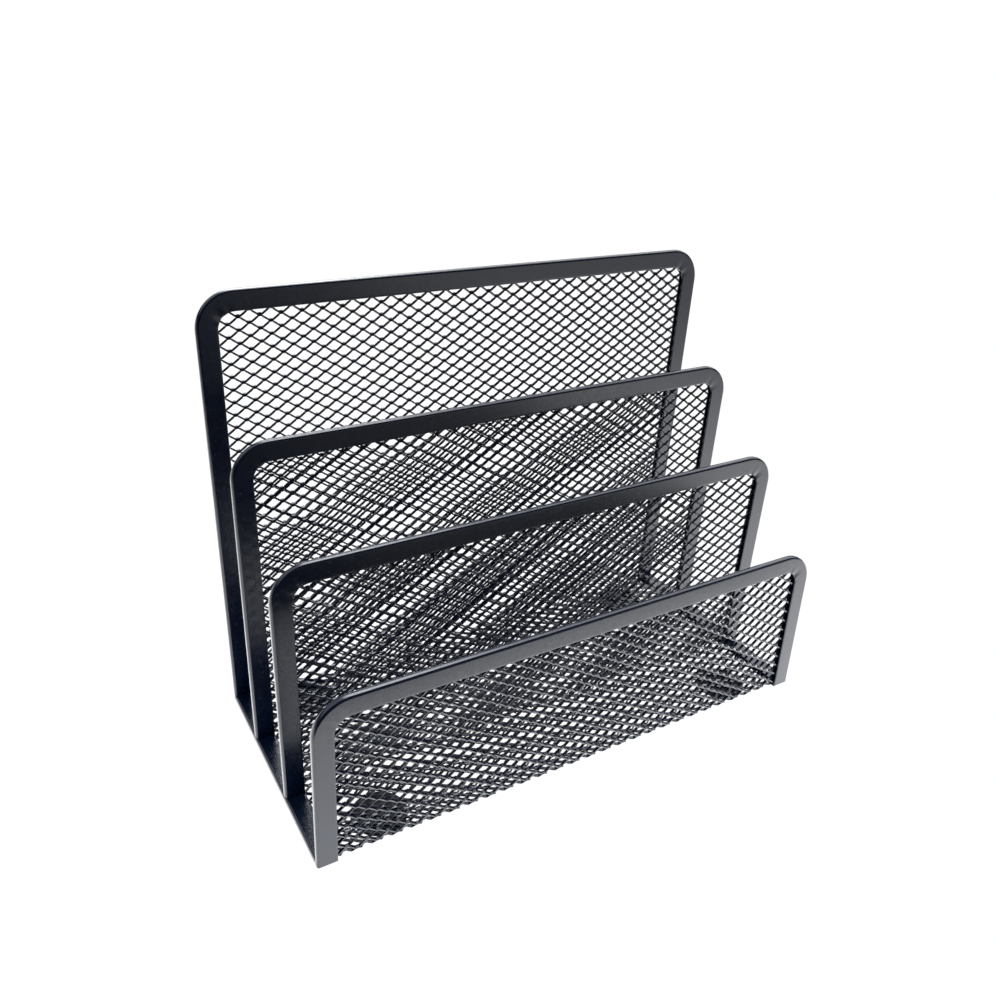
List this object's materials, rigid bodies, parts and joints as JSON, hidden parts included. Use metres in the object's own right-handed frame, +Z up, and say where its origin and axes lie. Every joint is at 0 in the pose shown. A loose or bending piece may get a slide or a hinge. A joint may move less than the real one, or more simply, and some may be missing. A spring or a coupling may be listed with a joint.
{
  "type": "letter rack",
  "caption": "Black desk letter rack of expanded-metal mesh panels in folded rims, stepped in height from front to back, with open-sided slots and rubber feet",
  "frame": {"origin": "on the table under the middle of the rack, in the plane of the bottoms of the feet", "axes": "+X along the width to the right as seen from the front, +Y from the low front panel to the tall back panel, +Z up"},
  "size_m": [0.175, 0.079, 0.137],
  "materials": {
    "rim_paint": "satin black powder coat on folded sheet steel",
    "mesh_paint": "satin black powder coat on expanded steel sheet",
    "foot_rubber": "matte black rubber"
  },
  "bodies": {
    "root": {"front_rim": "rim_paint", "front_divider_rim": "rim_paint", "rear_divider_rim": "rim_paint", "back_rim": "rim_paint", "left_base_rail": "rim_paint", "right_base_rail": "rim_paint", "front_mesh": "mesh_paint", "front_divider_mesh": "mesh_paint", "rear_divider_mesh": "mesh_paint", "back_mesh": "mesh_paint", "floor_mesh": "mesh_paint", "front_left_foot": "foot_rubber", "front_right_foot": "foot_rubber", "rear_left_foot": "foot_rubber", "rear_right_foot": "foot_rubber"}
  },
  "joints": []
}
